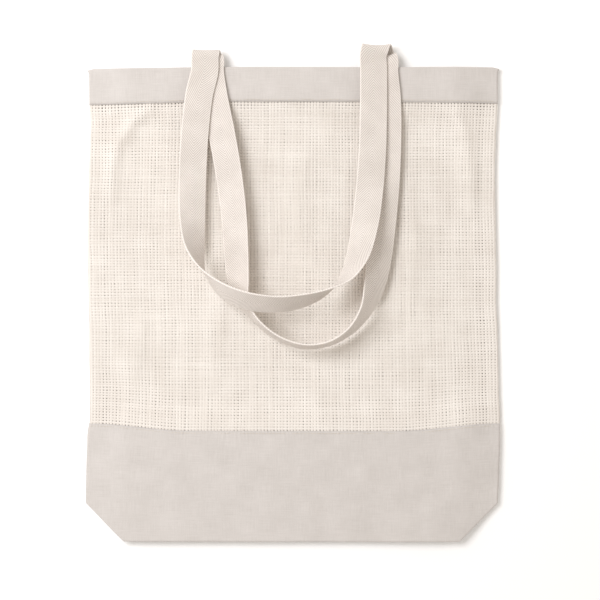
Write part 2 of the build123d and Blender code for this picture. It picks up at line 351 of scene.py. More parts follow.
def yarn(bm, segments, length, width, apex):
    """One closed three-sided yarn along Y from 0, with a ring at every crossing. Its ridge is up
    where apex is 1, and down where it is -1, so that it is always on the bag's outside."""
    made = bmesh.ops.create_cone(
        bm, cap_ends=True, cap_tris=True, segments=3, radius1=1.0, radius2=1.0, depth=length
    )
    verts = made["verts"]
    bmesh.ops.rotate(bm, verts=verts, cent=(0, 0, 0), matrix=Matrix.Rotation(math.radians(-90), 3, "X"))
    heights = [v.co.z for v in verts]
    middle = (max(heights) + min(heights)) / 2
    top = max(heights) - middle
    bmesh.ops.translate(bm, verts=verts, vec=(0, length / 2, -middle))
    half = max(abs(v.co.x) for v in verts)
    bmesh.ops.scale(bm, verts=verts, vec=(width / 2 / half, 1, -apex * YARN_HEIGHT / 2 / top))
    long_edges = [e for e in bm.edges if abs(e.verts[0].co.y - e.verts[1].co.y) > length / 2]
    bmesh.ops.subdivide_edges(bm, edges=long_edges, cuts=segments - 1, use_grid_fill=True)
    bmesh.ops.recalc_face_normals(bm, faces=bm.faces[:])


# Stitching pulls the yarns together beside the side allowances and just under the band.
PULLED_COLUMN = HALF_WIDTH - ALLOWANCE - 3.2 * MM
COLUMN_REACH = 2.2 * MM
PULLED_ROW = BAND_LOW_Y - 2.2 * MM
ROW_REACH = 2.6 * MM
WARP_PULL = 0.22
WEFT_PULL = 0.16


def net_panel(name, lay, apex, seed, material, offset=0.0, painted_shade=0.0):
    """Weaves a net flat, yarn by yarn, and then lays every point of it in its place."""
    warp_pitch = FLAT_WIDTH / WARP_YARNS
    weft_pitch = NET_LENGTH / WEFT_YARNS
    warps = WARP_YARNS - round(2 * offset)
    wefts = WEFT_YARNS - round(2 * offset)
    bm = bmesh.new()
    yarn_number = bm.verts.layers.int.new("yarn")
    ring = bm.verts.layers.int.new("ring")
    shade = bm.verts.layers.float.new("shade")
    random.seed(seed)

    def run(count, pitch, crossings, crossing_pitch, width, turned, first):
        """Adds like yarns side by side: along Y, or turned along X."""
        sample = bmesh.new()
        yarn(sample, crossings + 1, (crossings + 1) * crossing_pitch, width, apex)
        if turned:
            turn = Matrix.Rotation(math.radians(-90), 3, "Z")
            bmesh.ops.rotate(sample, verts=sample.verts, cent=(0, 0, 0), matrix=turn)
        mesh = bpy.data.meshes.new("yarn")
        sample.to_mesh(mesh)
        sample.free()
        lengthways = 0 if turned else 1
        for number in range(count):
            start = len(bm.verts)
            bm.from_mesh(mesh)
            bm.verts.ensure_lookup_table()
            # On the rear net the tone is lowered: painted shade for the shadow that the front net casts
            # on its yarns.
            tone = random.uniform(0, 1) - painted_shade
            for vert in bm.verts[start:]:
                vert[yarn_number] = first + number
                vert[ring] = round(vert.co[lengthways] / crossing_pitch)
                vert[shade] = tone
                vert.co[lengthways] += (offset - 0.5) * crossing_pitch
                vert.co[1 - lengthways] += (number + 0.5 + offset) * pitch
        bpy.data.meshes.remove(mesh)

    run(warps, warp_pitch, wefts, weft_pitch, WARP_WIDTH, False, 0)
    run(wefts, weft_pitch, warps, warp_pitch, WEFT_WIDTH, True, warps)
    for vert in bm.verts:
        is_warp = vert[yarn_number] < warps
        own = vert[yarn_number] if is_warp else vert[yarn_number] - warps
        over = 1 if (own + vert[ring]) % 2 else -1
        across, along = vert.co.x - FLAT_WIDTH / 2, vert.co.y
        centre_x, centre_y = across, along
        if is_warp:
            centre_x = (own + 0.5 + offset) * warp_pitch - FLAT_WIDTH / 2
        else:
            centre_y = (own + 0.5 + offset) * weft_pitch
        pulled = bell(net_low.y + centre_y - PULLED_ROW, ROW_REACH)
        thick = 1 + THICK_SPOTS * cloth_noise(
            centre_x, centre_y, SPOT_SIZE, SPOT_SIZE, seed + (0 if is_warp else 5)
        )
        if is_warp:
            pulled = max(pulled, bell(abs(centre_x) - PULLED_COLUMN, COLUMN_REACH))
            thick *= 1 - WARP_PULL * pulled
            height = vert.co.z * thick + WARP_WEAVE * over
            across = centre_x + (across - centre_x) * thick
            across += YARN_WANDER * cloth_noise(centre_x, along, 0.006, 0.030, seed + 0.5)
        else:
            thick *= 1 - WEFT_PULL * pulled
            height = vert.co.z * thick * WEFT_FLATNESS + apex * WEFT_LIFT - WEFT_WEAVE * over
            along = centre_y + (along - centre_y) * thick
            along += YARN_WANDER * cloth_noise(across, centre_y, 0.030, 0.005, seed + 1.5)
        across += WEAVE_WANDER * cloth_noise(centre_x, centre_y, 0.07, 0.06, seed + 2.5)
        vert.co = lay(across, net_low.y + along, height)
    bm.normal_update()
    return object_from(bm, name, material, smooth=False)


def lay_front(across, y, height):
    """Where a point of the front net lies. Past the side's fold it is turned over."""
    x, drop = turn_in(across, SIDE_FOLD_RADIUS)
    above = height if drop < SIDE_FOLD_RADIUS else -height
    return Vector((*settle(x, y), front_z(x, y) - drop + above))


def lay_rear(across, y, height):
    """The same for the rear net, whose sides turn up instead of down."""
    x, rise = turn_in(across, SIDE_FOLD_RADIUS)
    above = height if rise < SIDE_FOLD_RADIUS else -height
    return Vector((*settle(x, y), rear_z(x, y) + rise + above))


def math_node(tree, operation, first, second=None):
    """The result of a sum on one or two numbers or sockets."""
    node = add(tree, "ShaderNodeMath", operation=operation)
    for socket, value in zip(node.inputs, (first, second)):
        if isinstance(value, bpy.types.NodeSocket):
            tree.links.new(value, socket)
        elif value is not None:
            socket.default_value = value
    return node.outputs[0]


def mixture(tree, *parts):
    """The sum of several sockets, each times its own share."""
    total = None
    for value, share in parts:
        part = math_node(tree, "MULTIPLY", value, share)
        total = part if total is None else math_node(tree, "ADD", total, part)
    return total


def new_group(name, inputs, outputs):
    """An empty shader node group with its named sockets, and its two end nodes."""
    group = bpy.data.node_groups.new(name, "ShaderNodeTree")
    for direction, labels in (("INPUT", inputs), ("OUTPUT", outputs)):
        for label in labels:
            kind = "NodeSocketVector" if label == "Vector" else "NodeSocketFloat"
            group.interface.new_socket(label, in_out=direction, socket_type=kind)
    return group, group.nodes.new("NodeGroupInput"), group.nodes.new("NodeGroupOutput")


# Cotton fibre: soft tangled fuzz that every thread of the bag shows, as a height and as a tone.
fuzz, fuzz_in, fuzz_out = new_group("cotton_fuzz", ("Vector", "Scale"), ("Height", "Tone"))
fuzz_place = fuzz_in.outputs["Vector"]
fuzz_fine = add(
    fuzz, "ShaderNodeTexNoise",
    Vector=fuzz_place, Scale=fuzz_in.outputs["Scale"], Detail=4.0, Roughness=0.65,
)
fuzz_broad = add(fuzz, "ShaderNodeTexNoise", Vector=fuzz_place, Scale=38.0, Detail=3.0)
fuzz.links.new(fuzz_fine.outputs["Fac"], fuzz_out.inputs["Height"])
fuzz.links.new(fuzz_broad.outputs["Fac"], fuzz_out.inputs["Tone"])


def dress(tree, shader, colour, relief, strength, depth):
    """Gives a shader its colour and the fine relief of its threads."""
    tree.links.new(colour, shader.inputs["Base Color"])
    bump = add(tree, "ShaderNodeBump", Strength=strength, Distance=depth, Height=relief)
    tree.links.new(bump.outputs["Normal"], shader.inputs["Normal"])


def let_light_through(tree, shader, colour, share):
    """Thin cotton passes some of the light that falls on it."""
    through = add(tree, "ShaderNodeBsdfTranslucent", Color=colour)
    mix = add(tree, "ShaderNodeMixShader", Fac=share)
    tree.links.new(shader.outputs["BSDF"], mix.inputs[1])
    tree.links.new(through.outputs["BSDF"], mix.inputs[2])
    tree.links.new(mix.outputs["Shader"], tree.nodes["Material Output"].inputs["Surface"])


def yarn_material(name, dark, light, see_through=0.0):
    """Soft cotton yarn or thread, whose tone differs from one yarn to the next where it is given,
    lowered by any painted shade the yarns carry.
    """
    material, tree, shader = plain_material(name, 0.92)
    where = add(tree, "ShaderNodeTexCoord")
    fibres = add(
        tree, "ShaderNodeGroup", node_tree=fuzz, Vector=where.outputs["Object"], Scale=1800.0
    )
    own = add(tree, "ShaderNodeAttribute", attribute_name="shade")
    tone = mixture(tree, (own.outputs["Fac"], 0.25), (fibres.outputs["Tone"], 0.75))
    colour = shade_between(tree, tone, dark, light, 0.2, 0.8)
    dress(tree, shader, colour, fibres.outputs["Height"], 0.35, 0.2 * MM)
    if see_through:
        let_light_through(tree, shader, colour, see_through)
    return material


net_cotton = yarn_material("net_cotton", NET_DARK, NET_LIGHT)
# The rear net lies half a mesh off the front one, so its yarns show in the openings; their tone is
# lowered a little as painted shade, for the shadow of the front net on them.
net_rear = net_panel("net_panel_rear", lay_rear, -1, 5, net_cotton, offset=0.5, painted_shade=0.3)
net_front = net_panel("net_panel_front", lay_front, 1, 5, net_cotton)
for panel, node, rests_on in (
    (net_rear, "mesh_panel_rear", ["table_top"]),
    (net_front, "mesh_panel_front", ["net_panel_rear"]),
):
    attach(panel, "bag")
    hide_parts(node)
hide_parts("side_seam_left", "side_seam_right")

# ---------------------------------------------------------------------------------------------
# The base: one piece of natural canvas up the front, folded inwards along the bottom and up the
# rear. Its corners turn in along slanting folds, as a boxed base does when the bag lies flat.
# ---------------------------------------------------------------------------------------------
CANVAS_THICKNESS = 0.7 * MM
CANVAS_DARK = (0.575, 0.54, 0.51)
CANVAS_LIGHT = (0.765, 0.725, 0.70)
CANVAS_THREAD = 0.62 * MM
ROW_ACROSS = 1.25 * MM
ROW_ALONG = 3.0 * MM
NO_DISTANCE = 1e-6
GUSSET_FOLD = HALF_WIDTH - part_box("gusset_seam_right")[1].x
FLAT_HALF = HALF_WIDTH - GUSSET_FOLD
PLY_LIFT = 0.62 * MM
SEWN_DOWN = 0.34 * MM
SEWN_REACH = 3 * MM
CREASE_RADIUS = 0.75 * MM
MIDDLE_Z = (NET_MIDDLE_Z + REAR_Z) / 2
PUCKER_PITCH = 3.3 * MM
PUCKER_DEPTH = 0.20 * MM
PUCKER_REACH = 8.0 * MM
PUCKER_BEND = 6 * MM
BASE_PUCKER_SEED = 1.7
BASE_SWELL = 0.35 * MM
front_length = BASE_TOP_Y - BASE_Y - CREASE_RADIUS
gusset_length = GUSSET_FOLD + (math.pi - 1) * CREASE_RADIUS
base_length = 2 * (front_length + gusset_length)
half_turn = math.pi * CREASE_RADIUS


def pressed(distance):
    """How far a row of stitching presses the cloth down, by the distance from its edge."""
    return SEWN_DOWN * (1 - smooth_step(distance / SEWN_REACH))


def pucker(x, distance, seed):
    """Small gathers that a row of stitching draws in the cloth beside it."""
    bend = PUCKER_BEND * cloth_noise(x, distance, 0.040, 0.030, seed)
    strength = 1 + 1.2 * cloth_noise(x, 0.0, 0.012, 1.0, seed + 1)
    fade = bell(distance, PUCKER_REACH) + 0.25
    return PUCKER_DEPTH * strength * fade * math.sin(2 * math.pi * (x + bend) / PUCKER_PITCH)


def fold_over(beyond, radius):
    """Where cloth that runs past a fold line comes to lie: how far out, and how far down."""
    if beyond <= 0:
        return beyond, 0.0
    if beyond < math.pi * radius:
        angle = beyond / radius
        return radius * math.sin(angle), radius * (1 - math.cos(angle))
    return -(beyond - math.pi * radius), 2 * radius


def lay_base(across, along):
    """Lays a point of the flat canvas, from the front's upper edge down, round and up the rear."""
    on_front = along <= base_length / 2
    down = along if on_front else base_length - along
    x, turned = turn_in(across, SIDE_FOLD_RADIUS)
    past = down - front_length
    out, drop = fold_over(past, CREASE_RADIUS)
    y = BASE_Y + CREASE_RADIUS - out
    drop += turned
    beyond = (abs(x) - FLAT_HALF - (y - BASE_Y)) / math.sqrt(2) + CREASE_RADIUS
    if abs(x) > FLAT_HALF and past <= 10 * NO_DISTANCE and beyond > 0:
        out, corner_drop = fold_over(beyond, CREASE_RADIUS)
        shift = (out - beyond) / math.sqrt(2)
        x += shift if x > 0 else -shift
        y -= shift
        drop += corner_drop
    slope = max(0.0, (past - half_turn) / (gusset_length - half_turn))
    if on_front:
        z = front_z(x, y) + PLY_LIFT - drop - pressed(down) + pucker(x, down, BASE_PUCKER_SEED)
        z += BASE_SWELL * cloth_noise(x, y, 0.045, 0.030, 9.1) * (1 - edge_share(x))
    else:
        z = rear_z(x, y) - PLY_LIFT + drop
    return Vector((*settle(x, y), z * (1 - slope) + MIDDLE_Z * slope))


def cut_across(bm, geom, point, normal):
    """Cuts a flat cloth along a line, where it will fold."""
    bmesh.ops.bisect_plane(bm, geom=geom, dist=NO_DISTANCE, plane_co=point, plane_no=normal)


def flat_cloth(width, length, pitch, fold_rows):
    """A flat cloth from (-width/2, 0) to (width/2, length), with extra rows where it will fold."""
    bm = bmesh.new()
    bmesh.ops.create_grid(
        bm, x_segments=round(width / pitch), y_segments=round(length / ROW_ALONG), size=0.5,
        matrix=Matrix.Diagonal((width, length, 1, 1)) @ Matrix.Translation((0, 0.5, 0)),
    )
    for row in fold_rows:
        cut_across(bm, bm.verts[:] + bm.edges[:] + bm.faces[:], (0, row, 0), (0, 1, 0))
    return bm


def remember_flat(bm):
    """Keeps the flat cloth's own coordinates as its UV map, in metres."""
    uv = bm.loops.layers.uv.new("cloth")
    for face in bm.faces:
        for loop in face.loops:
            loop[uv].uv = (loop.vert.co.x, loop.vert.co.y)


FOLD_SHARES = (0, 0.25, 0.5, 0.75, 1.0)
crease_rows = [front_length + half_turn * share for share in FOLD_SHARES]
crease_rows += [base_length - row for row in crease_rows] + [base_length / 2]
base_cloth = flat_cloth(FLAT_WIDTH, base_length, ROW_ACROSS, crease_rows)
for side in (-1, 1):
    whole = base_cloth.verts[:] + base_cloth.edges[:] + base_cloth.faces[:]
    cut_across(base_cloth, whole, (side * FLAT_HALF, 0, 0), (1, 0, 0))


def in_corner(face, side, upper):
    """Whether a face lies where one of the four corners folds in, with a little to spare."""
    centre = face.calc_center_median()
    from_crease = min(abs(centre.y - front_length), abs(centre.y - base_length + front_length))
    return (
        abs(centre.x) > FLAT_HALF - 3 * MM
        and (centre.x > 0) == (side > 0)
        and (centre.y < front_length) == upper
        and from_crease < GUSSET_FOLD + 4 * MM
    )


# The corners' slanting folds are cut into the cloth only where they run.
for side in (-1, 1):
    for upper in (True, False):
        line_y = front_length + CREASE_RADIUS
        corner = Vector((side * FLAT_HALF, line_y if upper else base_length - line_y, 0))
        slant = Vector((side, 1 if upper else -1, 0)).normalized()
        for share in FOLD_SHARES:
            geom = {face for face in base_cloth.faces if in_corner(face, side, upper)}
            for face in list(geom):
                geom.update(face.edges, face.verts)
            reach = (math.pi * share - 1) * CREASE_RADIUS
            cut_across(base_cloth, list(geom), corner + slant * reach, slant)
waste = []
for face in base_cloth.faces:
    centre = face.calc_center_median()
    down = min(centre.y, base_length - centre.y)
    in_notch = abs(centre.x) > FLAT_HALF and down > front_length
    past_side = abs(centre.x) > HALF_WIDTH + CREASE_RADIUS and down > front_length - GUSSET_FOLD
    if in_notch or past_side:
        waste.append(face)
bmesh.ops.delete(base_cloth, geom=waste, context="FACES")
remember_flat(base_cloth)
for vert in base_cloth.verts:
    vert.co = lay_base(vert.co.x, vert.co.y)
base_cloth.normal_update()

# Plain weave: threads going over and under one another, as a height from 0 to 1, and the slubs
# that run along them.
weave, weave_in, weave_out = new_group("plain_weave", ("Vector", "Pitch"), ("Height", "Slub"))
weave_place = weave_in.outputs["Vector"]
split = add(weave, "ShaderNodeSeparateXYZ", Vector=weave_place)
waves = []
for axis in ("X", "Y"):
    turns = math_node(weave, "DIVIDE", split.outputs[axis], weave_in.outputs["Pitch"])
    waves.append(math_node(weave, "SINE", math_node(weave, "MULTIPLY", turns, math.pi)))
over = math_node(weave, "GREATER_THAN", math_node(weave, "MULTIPLY", waves[0], waves[1]), 0.0)
under = math_node(weave, "SUBTRACT", 1.0, over)
threads = mixture(
    weave,
    (over, math_node(weave, "ABSOLUTE", waves[0])),
    (under, math_node(weave, "ABSOLUTE", waves[1])),
)
weave.links.new(threads, weave_out.inputs["Height"])
slubs = []
for stretch in ((1500.0, 60.0, 1.0), (60.0, 1500.0, 1.0)):
    squeeze = add(weave, "ShaderNodeMapping", Vector=weave_place, Scale=stretch)
    streak = add(
        weave, "ShaderNodeTexNoise", Vector=squeeze.outputs["Vector"], Scale=1.0, Detail=2.0
    )
    slubs.append((streak.outputs["Fac"], 0.5))
weave.links.new(mixture(weave, *slubs), weave_out.inputs["Slub"])


def canvas_material():
    """Natural cotton canvas: its weave and slubs, and the slight crumple of washed cloth."""
    material, tree, shader = plain_material("natural_canvas", 0.9)
    shader.inputs["Sheen Weight"].default_value = 0.1
    flat = add(tree, "ShaderNodeUVMap", uv_map="cloth").outputs["UV"]
    threads = add(tree, "ShaderNodeGroup", node_tree=weave, Vector=flat, Pitch=CANVAS_THREAD)
    fibres = add(tree, "ShaderNodeGroup", node_tree=fuzz, Vector=flat, Scale=1400.0)
    crumple = add(
        tree, "ShaderNodeTexNoise", Vector=flat, Scale=340.0, Detail=2.0, Distortion=0.6
    )
    height, slub = threads.outputs["Height"], threads.outputs["Slub"]
    tone = mixture(tree, (slub, 0.5), (fibres.outputs["Tone"], 0.3), (height, 0.2))
    relief = mixture(
        tree,
        (height, 1.0), (fibres.outputs["Height"], 1.0), (slub, 1.5), (crumple.outputs["Fac"], 3.0),
    )
    colour = shade_between(tree, tone, CANVAS_DARK, CANVAS_LIGHT, 0.3, 0.72)
    dress(tree, shader, colour, relief, 0.42, 0.22 * MM)
    return material


def thicken(piece, thickness):
    """Gives a cloth its thickness, half to each side."""
    solid = piece.modifiers.new("thickness", "SOLIDIFY")
    solid.thickness = thickness
    solid.offset = 0.0


canvas = canvas_material()
base = object_from(base_cloth, "canvas_base", canvas)
thicken(base, CANVAS_THICKNESS)
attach(base, "bag")
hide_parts("base_canvas")

# ---------------------------------------------------------------------------------------------
# The bands: a strip of the same canvas folded over each panel's upper edge, one ply outside the
# net and one inside, with the mouth's edge as the fold.
# ---------------------------------------------------------------------------------------------
BAND_PUCKER_SEED = 4.2
MOUTH_RADIUS = PLY_LIFT
MOUTH_SHARES = (0, 0.2, 0.4, 0.6, 0.8, 1.0)
band_ply = MOUTH_Y - BAND_LOW_Y - MOUTH_RADIUS
band_length = 2 * band_ply + math.pi * MOUTH_RADIUS
mouth_rows = [band_ply + math.pi * MOUTH_RADIUS * share for share in MOUTH_SHARES]


def lay_band(across, along, on_front):
    """Lays a point of the flat strip, from the outer ply's lower edge over the mouth and down inside."""
    x, turned = turn_in(across, SIDE_FOLD_RADIUS)
    out, drop = fold_over(along - band_ply, MOUTH_RADIUS)
    y = MOUTH_Y - MOUTH_RADIUS + out
    lift = PLY_LIFT - drop - pressed(along)
    if not on_front:
        return Vector((*settle(x, y), rear_z(x, y) - lift + turned))
    gathers = pucker(x, along, BAND_PUCKER_SEED) if along < band_ply else 0.0
    return Vector((*settle(x, y), front_z(x, y) + lift - turned + gathers))


for label in ("rear", "front"):
    strip = flat_cloth(FLAT_WIDTH, band_length, ROW_ACROSS, mouth_rows)
    remember_flat(strip)
    for vert in strip.verts:
        vert.co = lay_band(vert.co.x, vert.co.y, label == "front")
    strip.normal_update()
    band = object_from(strip, f"band_{label}", canvas)
    thicken(band, CANVAS_THICKNESS)
    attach(band, "bag")
    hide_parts(f"top_band_{label}")

# ---------------------------------------------------------------------------------------------
# Stitching: cotton thread in rows along the bands' lower edges and the base's upper edge, each
# stitch a short plump run of thread that dips into the cloth at both ends.
# ---------------------------------------------------------------------------------------------
STITCH_LENGTH = 2.5 * MM
STITCH_GAP = 0.5 * MM
STITCH_STEP = STITCH_LENGTH + STITCH_GAP
STITCH_WIDTH = 0.55 * MM
STITCH_HEIGHT = 0.4 * MM
STITCH_PROUD = 0.45
ROW_INSET = 1.2 * MM
THREAD_DARK = (0.70, 0.64, 0.55)
THREAD_LIGHT = (0.80, 0.74, 0.66)

thread_cotton = yarn_material("thread_cotton", THREAD_DARK, THREAD_LIGHT, see_through=0.1)


def add_stitch(bm, centre, heading, length=STITCH_LENGTH):
    """One stitch: a long plump bead of thread that lies along its heading."""
    made = bmesh.ops.create_uvsphere(bm, u_segments=6, v_segments=5, radius=0.5)
    turn = Matrix.Rotation(math.atan2(heading[1], heading[0]), 4, "Z")
    size = Matrix.Diagonal((length, STITCH_WIDTH, STITCH_HEIGHT, 1))
    lying = Matrix.Rotation(math.radians(90), 4, "Y")
    place = Matrix.Translation(centre) @ turn @ size @ lying
    bmesh.ops.transform(bm, verts=made["verts"], matrix=place)


def sew(bm, name, node):
    """Turns finished stitches into a piece that stands for one of the bag's rows of thread."""
    row = object_from(bm, name, thread_cotton)
    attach(row, "bag")
    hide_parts(node)


def on_front_ply(x, y):
    """Height of a row on the front, on top of the gathered canvas."""
    distance = min(abs(BASE_TOP_Y - y), abs(y - BAND_LOW_Y))
    surface = front_z(x, y) + PLY_LIFT + CANVAS_THICKNESS / 2 - pressed(distance)
    return surface + pucker(x, distance, BAND_PUCKER_SEED if y > 0 else BASE_PUCKER_SEED)


def under_rear_ply(x, y):
    """Height of a row on the rear, which stands a little proud of the canvas's underside."""
    return rear_z(x, y) - PLY_LIFT - CANVAS_THICKNESS / 2 + STITCH_HEIGHT * STITCH_PROUD


row_reach = HALF_WIDTH - ROW_INSET
for label, row_height in (("front", on_front_ply), ("rear", under_rear_ply)):
    for part in ("band", "base"):
        node = f"{part}_stitching_{label}"
        low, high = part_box(node)
        y = (low.y + high.y) / 2
        row = bmesh.new()
        for number in range(int(2 * row_reach / STITCH_STEP)):
            x = -row_reach + (number + 0.5) * STITCH_STEP
            add_stitch(row, Vector((*settle(x, y), row_height(x, y))), (1, 0))
        sew(row, f"{part}_threads_{label}", node)

# The raw edges inside are overlocked: thread zigzags over the edge of each side allowance.
OVERLOCK_STEP = 3.0 * MM
OVERLOCK_LEAN = 0.5
for side in ("left", "right"):
    low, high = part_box(f"side_overlock_{side}")
    middle_x, z = (low.x + high.x) / 2, (low.z + high.z) / 2
    row = bmesh.new()
    for number in range(int((high.y - low.y) / OVERLOCK_STEP)):
        y = low.y + (number + 0.5) * OVERLOCK_STEP
        heading = (OVERLOCK_LEAN if number % 2 else -OVERLOCK_LEAN, 1.0)
        add_stitch(row, Vector((*settle(middle_x, y), z)), heading, OVERLOCK_STEP * 1.1)
    sew(row, f"overlock_threads_{side}", f"side_overlock_{side}")

# ---------------------------------------------------------------------------------------------
# The seams at the ends of the folded base, inside the bag: a narrow turned-in strip of canvas
# that follows the fold in and out again.
# ---------------------------------------------------------------------------------------------
BINDING_THICKNESS = 0.5 * MM
BINDING_ROW = 1.0 * MM
BINDING_TURN = 0.8 * MM
BINDING_SPREAD = 0.35 * MM
BINDING_INSET = 1.3 * MM
BINDING_RISE = 1.2 * MM
binding_leg = GUSSET_FOLD - CREASE_RADIUS
for side in ("left", "right"):
    low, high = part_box(f"gusset_seam_{side}")
    width = high.x - low.x
    strip = flat_cloth(2 * width, 2 * binding_leg, BINDING_ROW, [binding_leg])
    remember_flat(strip)
    for vert in strip.verts:
        round_edge, along = vert.co.x, vert.co.y
        share = min(along, 2 * binding_leg - along) / binding_leg
        turn = min(max(round_edge / BINDING_TURN, -1.0), 1.0)
        x = high.x - abs(round_edge) if side == "left" else low.x + abs(round_edge)
        y = BASE_Y + CREASE_RADIUS + share * binding_leg + BINDING_RISE
        outer = NET_MIDDLE_Z - BINDING_INSET if along < binding_leg else REAR_Z + BINDING_INSET
        middle = outer * (1 - share) + MIDDLE_Z * share
        vert.co = Vector((*settle(x, y), middle + turn * BINDING_SPREAD))
    strip.normal_update()
    seam = object_from(strip, f"gusset_binding_{side}", canvas)
    thicken(seam, BINDING_THICKNESS)
    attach(seam, "bag")
    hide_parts(f"gusset_seam_{side}")

# ---------------------------------------------------------------------------------------------
# The handles: cotton herringbone tape, each one length, with its ends sewn inside the band. They
# come up out of the mouth, fold over and lie on the front, standing on edge where they turn.
# ---------------------------------------------------------------------------------------------
tab_low, tab_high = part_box("handle_tab_rear_left")
TAPE_WIDTH = tab_high.x - tab_low.x
TAPE_THICKNESS = tab_high.z - tab_low.z
TAPE_DARK = (0.60, 0.545, 0.50)
TAPE_LIGHT = (0.99, 0.93, 0.88)
RIB_PITCH = 2.45 * MM
RIB_SLANT = 1.15
# How wide the painted highlight along each selvedge is.
SELVEDGE_HIGHLIGHT_WIDTH = 1.0 * MM
ROUND_START = 1.1 * MM
ROUND_END = 0.25 * MM
FRONT_TOP_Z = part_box("top_band_front")[1].z
HINGE = Vector(frame["joints"][0]["pos_m"])
CROSS_POINTS = 6
SEWN_STEPS = 4
FOLD_STEPS = 8
FOLD_EASE = 0.1 * MM
STATION_STEP = 4 * MM
CUP = 0.35 * MM
CUP_LENGTH = 50 * MM
# Sideways from the middle in mm, down from the mouth in mm, room under the tape as a share of its
# width, and roll in degrees.
REAR_HANDLE_ROUTE = [
    (-82.0, 3.0, 0.14, -8.0), (-87.0, 26.0, 0.17, -7.0), (-91.3, 62.0, 0.17, -5.0),
    (-93.5, 104.0, 0.13, -9.0), (-93.6, 138.0, 0.10, -22.0), (-91.8, 163.0, 0.09, -43.0),
    (-85.8, 186.0, 0.18, -82.0), (-71.5, 203.5, 0.59, -112.0), (-46.0, 216.5, 1.08, -127.0),
    (-18.0, 220.5, 0.98, -125.0), (8.0, 217.5, 0.79, -117.0), (32.0, 208.5, 0.59, -97.0),
    (48.0, 195.5, 0.49, -66.0), (58.0, 177.0, 0.47, -40.0), (64.3, 152.0, 0.43, -20.0),
    (69.5, 115.0, 0.34, -2.0), (72.6, 72.0, 0.23, 5.0), (73.4, 30.0, 0.16, 9.0),
    (73.4, 3.0, 0.14, 10.0),
]
FRONT_HANDLE_ROUTE = [
    (-77.4, 4.0, 0.045, 0.0), (-74.0, 28.0, 0.045, 4.0), (-66.5, 64.0, 0.045, 12.0),
    (-59.5, 104.0, 0.045, 17.0), (-54.8, 144.0, 0.045, 22.0), (-52.8, 178.0, 0.045, 28.0),
    (-50.4, 203.0, 0.045, 42.0), (-46.4, 217.0, 0.045, 63.0), (-39.6, 229.5, 0.045, 76.0),
    (-28.0, 242.0, 0.045, 80.0), (-11.0, 253.5, 0.045, 80.0), (11.0, 259.5, 0.045, 80.0),
    (34.0, 256.0, 0.045, 80.0), (53.5, 243.5, 0.045, 74.0), (66.0, 226.5, 0.045, 62.0),
    (73.6, 205.0, 0.045, 40.0), (78.0, 180.0, 0.045, 22.0), (81.5, 148.0, 0.045, 11.0),
    (85.0, 108.0, 0.045, 5.0), (86.6, 66.0, 0.045, 2.0), (86.0, 28.0, 0.045, 0.0),
    (83.6, 4.0, 0.045, 0.0),
]

# Herringbone: slanting ribs that turn back along the tape's middle, crossed by fine ends.
herringbone, herring_in, herring_out = new_group("herringbone", ("Vector", "Rib", "Pitch"), ("Height",))
split = add(herringbone, "ShaderNodeSeparateXYZ", Vector=herring_in.outputs["Vector"])
zigzag = math_node(herringbone, "PINGPONG", split.outputs["X"], herring_in.outputs["Rib"])
slant = mixture(herringbone, (split.outputs["Y"], 1.0), (zigzag, RIB_SLANT))
turns = math_node(herringbone, "DIVIDE", slant, herring_in.outputs["Pitch"])
twill = math_node(herringbone, "SINE", math_node(herringbone, "MULTIPLY", turns, 2 * math.pi))
ends = math_node(herringbone, "DIVIDE", split.outputs["X"], herring_in.outputs["Pitch"])
ends = math_node(herringbone, "SINE", math_node(herringbone, "MULTIPLY", ends, 6 * math.pi))
both = math_node(herringbone, "ADD", mixture(herringbone, (twill, 0.44), (ends, 0.06)), 0.5)
herringbone.links.new(both, herring_out.inputs["Height"])


def tape_material():
    """Herringbone cotton tape, with a painted highlight in a narrow band along both selvedges."""
    material, tree, shader = plain_material("herringbone_tape", 0.88)
    shader.inputs["Sheen Weight"].default_value = 0.12
    flat = add(tree, "ShaderNodeUVMap", uv_map="cloth").outputs["UV"]
    ribs = add(
        tree, "ShaderNodeGroup",
        node_tree=herringbone, Vector=flat, Rib=TAPE_WIDTH / 2, Pitch=RIB_PITCH,
    )
    fibres = add(tree, "ShaderNodeGroup", node_tree=fuzz, Vector=flat, Scale=1500.0)
    across = add(tree, "ShaderNodeSeparateXYZ", Vector=flat)
    from_middle = math_node(tree, "ABSOLUTE", across.outputs["X"])
    # Painted highlight: a narrow band along both edges is lighter, for the light that the tape's thin
    # selvedges catch.
    selvedge_highlight = math_node(tree, "GREATER_THAN", from_middle, TAPE_WIDTH / 2 - SELVEDGE_HIGHLIGHT_WIDTH)
    tone = mixture(
        tree, (ribs.outputs["Height"], 0.6), (fibres.outputs["Tone"], 0.4), (selvedge_highlight, 0.35)
    )
    relief = mixture(tree, (ribs.outputs["Height"], 1.0), (fibres.outputs["Height"], 0.5))
    colour = shade_between(tree, tone, TAPE_DARK, TAPE_LIGHT, 0.2, 0.85)
    dress(tree, shader, colour, relief, 0.6, 0.6 * MM)
    return material


tape_cotton = tape_material()


